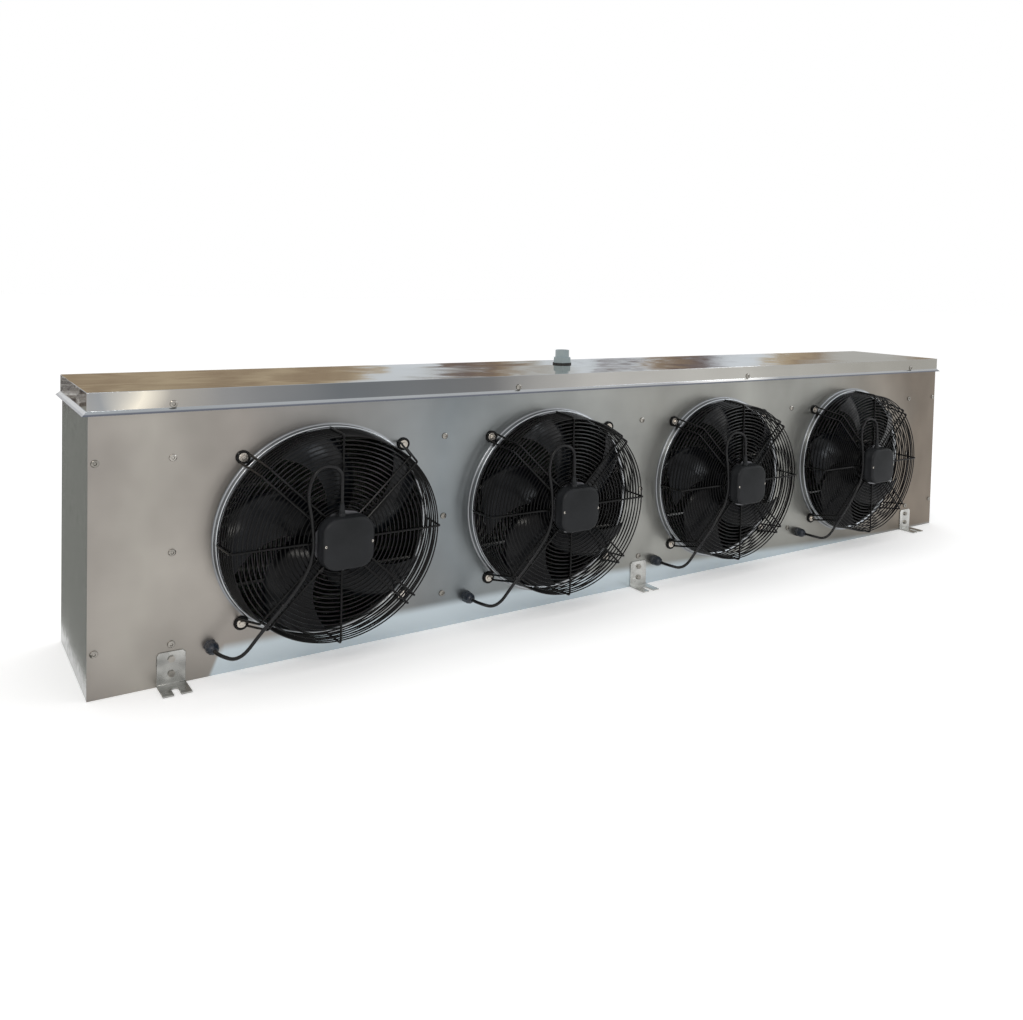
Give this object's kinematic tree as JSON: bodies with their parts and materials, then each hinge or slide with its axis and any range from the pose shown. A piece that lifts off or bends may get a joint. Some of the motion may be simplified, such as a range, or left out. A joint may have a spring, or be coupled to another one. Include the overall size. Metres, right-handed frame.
{
  "type": "walk-in unit cooler",
  "caption": "Long low unit cooler: a bright sheet-steel casing with a row of guarded axial fans, a finned coil behind them, a drain pan with a spigot, and slotted ceiling brackets.",
  "frame": {"origin": "middle of the casing's ceiling face, the flat face that goes against the ceiling in use and on which the unit stands here", "axes": "+X along the length, to the right for someone facing the fans; +Y from the fans towards the coil's air inlet; +Z from the ceiling face to the drain pan, so +Z points down once the unit hangs in use"},
  "size_m": [2.498, 0.555, 0.598],
  "materials": {
    "casing_steel": "glossy rolled stainless",
    "pan_steel": "mirror-bright stainless",
    "galvanised_sheet": "satin",
    "fin_aluminium": "satin",
    "copper": "drawn copper",
    "heater_sheath": "satin",
    "box_plastic": "matt",
    "drain_plastic": "satin",
    "gasket_rubber": "matt",
    "fan_black": "satin black",
    "motor_aluminium": "die-cast, bright",
    "cover_black": "matt",
    "guard_black": "satin black",
    "lead_rubber": "satin",
    "gland_plastic": "satin",
    "bracket_steel": "satin",
    "zinc_steel": "bright zinc"
  },
  "bodies": {
    "casing": {"bracket_bolts": "zinc_steel", "cable_gland_1": "gland_plastic", "cable_gland_2": "gland_plastic", "cable_gland_3": "gland_plastic", "cable_gland_4": "gland_plastic", "ceiling_panel": "casing_steel", "coil_block_1": "fin_aluminium", "coil_block_2": "fin_aluminium", "coil_block_3": "fin_aluminium", "coil_block_4": "fin_aluminium", "defrost_heaters": "heater_sheath", "drain_gasket": "gasket_rubber", "drain_nut": "drain_plastic", "drain_outlet": "drain_plastic", "drain_pan": "pan_steel", "fan_guard_1": "guard_black", "fan_guard_2": "guard_black", "fan_guard_3": "guard_black", "fan_guard_4": "guard_black", "front_brackets": "bracket_steel", "front_panel": "casing_steel", "guard_screws": "zinc_steel", "inner_drip_tray": "galvanised_sheet", "left_end_cover": "casing_steel", "left_return_bends": "copper", "liquid_distributor": "copper", "motor_1": "motor_aluminium", "motor_2": "motor_aluminium", "motor_3": "motor_aluminium", "motor_4": "motor_aluminium", "motor_cover_1": "cover_black", "motor_cover_2": "cover_black", "motor_cover_3": "cover_black", "motor_cover_4": "cover_black", "motor_lead_1": "lead_rubber", "motor_lead_2": "lead_rubber", "motor_lead_3": "lead_rubber", "motor_lead_4": "lead_rubber", "rear_brackets": "bracket_steel", "rear_rail": "casing_steel", "right_end_cover": "casing_steel", "right_return_bends": "copper", "suction_header": "copper", "terminal_box": "box_plastic", "terminal_box_lid": "box_plastic", "tube_sheets": "galvanised_sheet"},
    "fan_wheel_1": {"impeller_1": "fan_black"},
    "fan_wheel_2": {"impeller_2": "fan_black"},
    "fan_wheel_3": {"impeller_3": "fan_black"},
    "fan_wheel_4": {"impeller_4": "fan_black"}
  },
  "joints": [
    {"name": "fan_1_spin", "type": "hinge", "parent": "casing", "child": "fan_wheel_1", "pos_m": [-0.8115, -0.179, 0.2575], "axis": [0, -1, 0], "continuous": true},
    {"name": "fan_2_spin", "type": "hinge", "parent": "casing", "child": "fan_wheel_2", "pos_m": [-0.2705, -0.179, 0.2575], "axis": [0, -1, 0], "continuous": true},
    {"name": "fan_3_spin", "type": "hinge", "parent": "casing", "child": "fan_wheel_3", "pos_m": [0.2705, -0.179, 0.2575], "axis": [0, -1, 0], "continuous": true},
    {"name": "fan_4_spin", "type": "hinge", "parent": "casing", "child": "fan_wheel_4", "pos_m": [0.8115, -0.179, 0.2575], "axis": [0, -1, 0], "continuous": true}
  ]
}
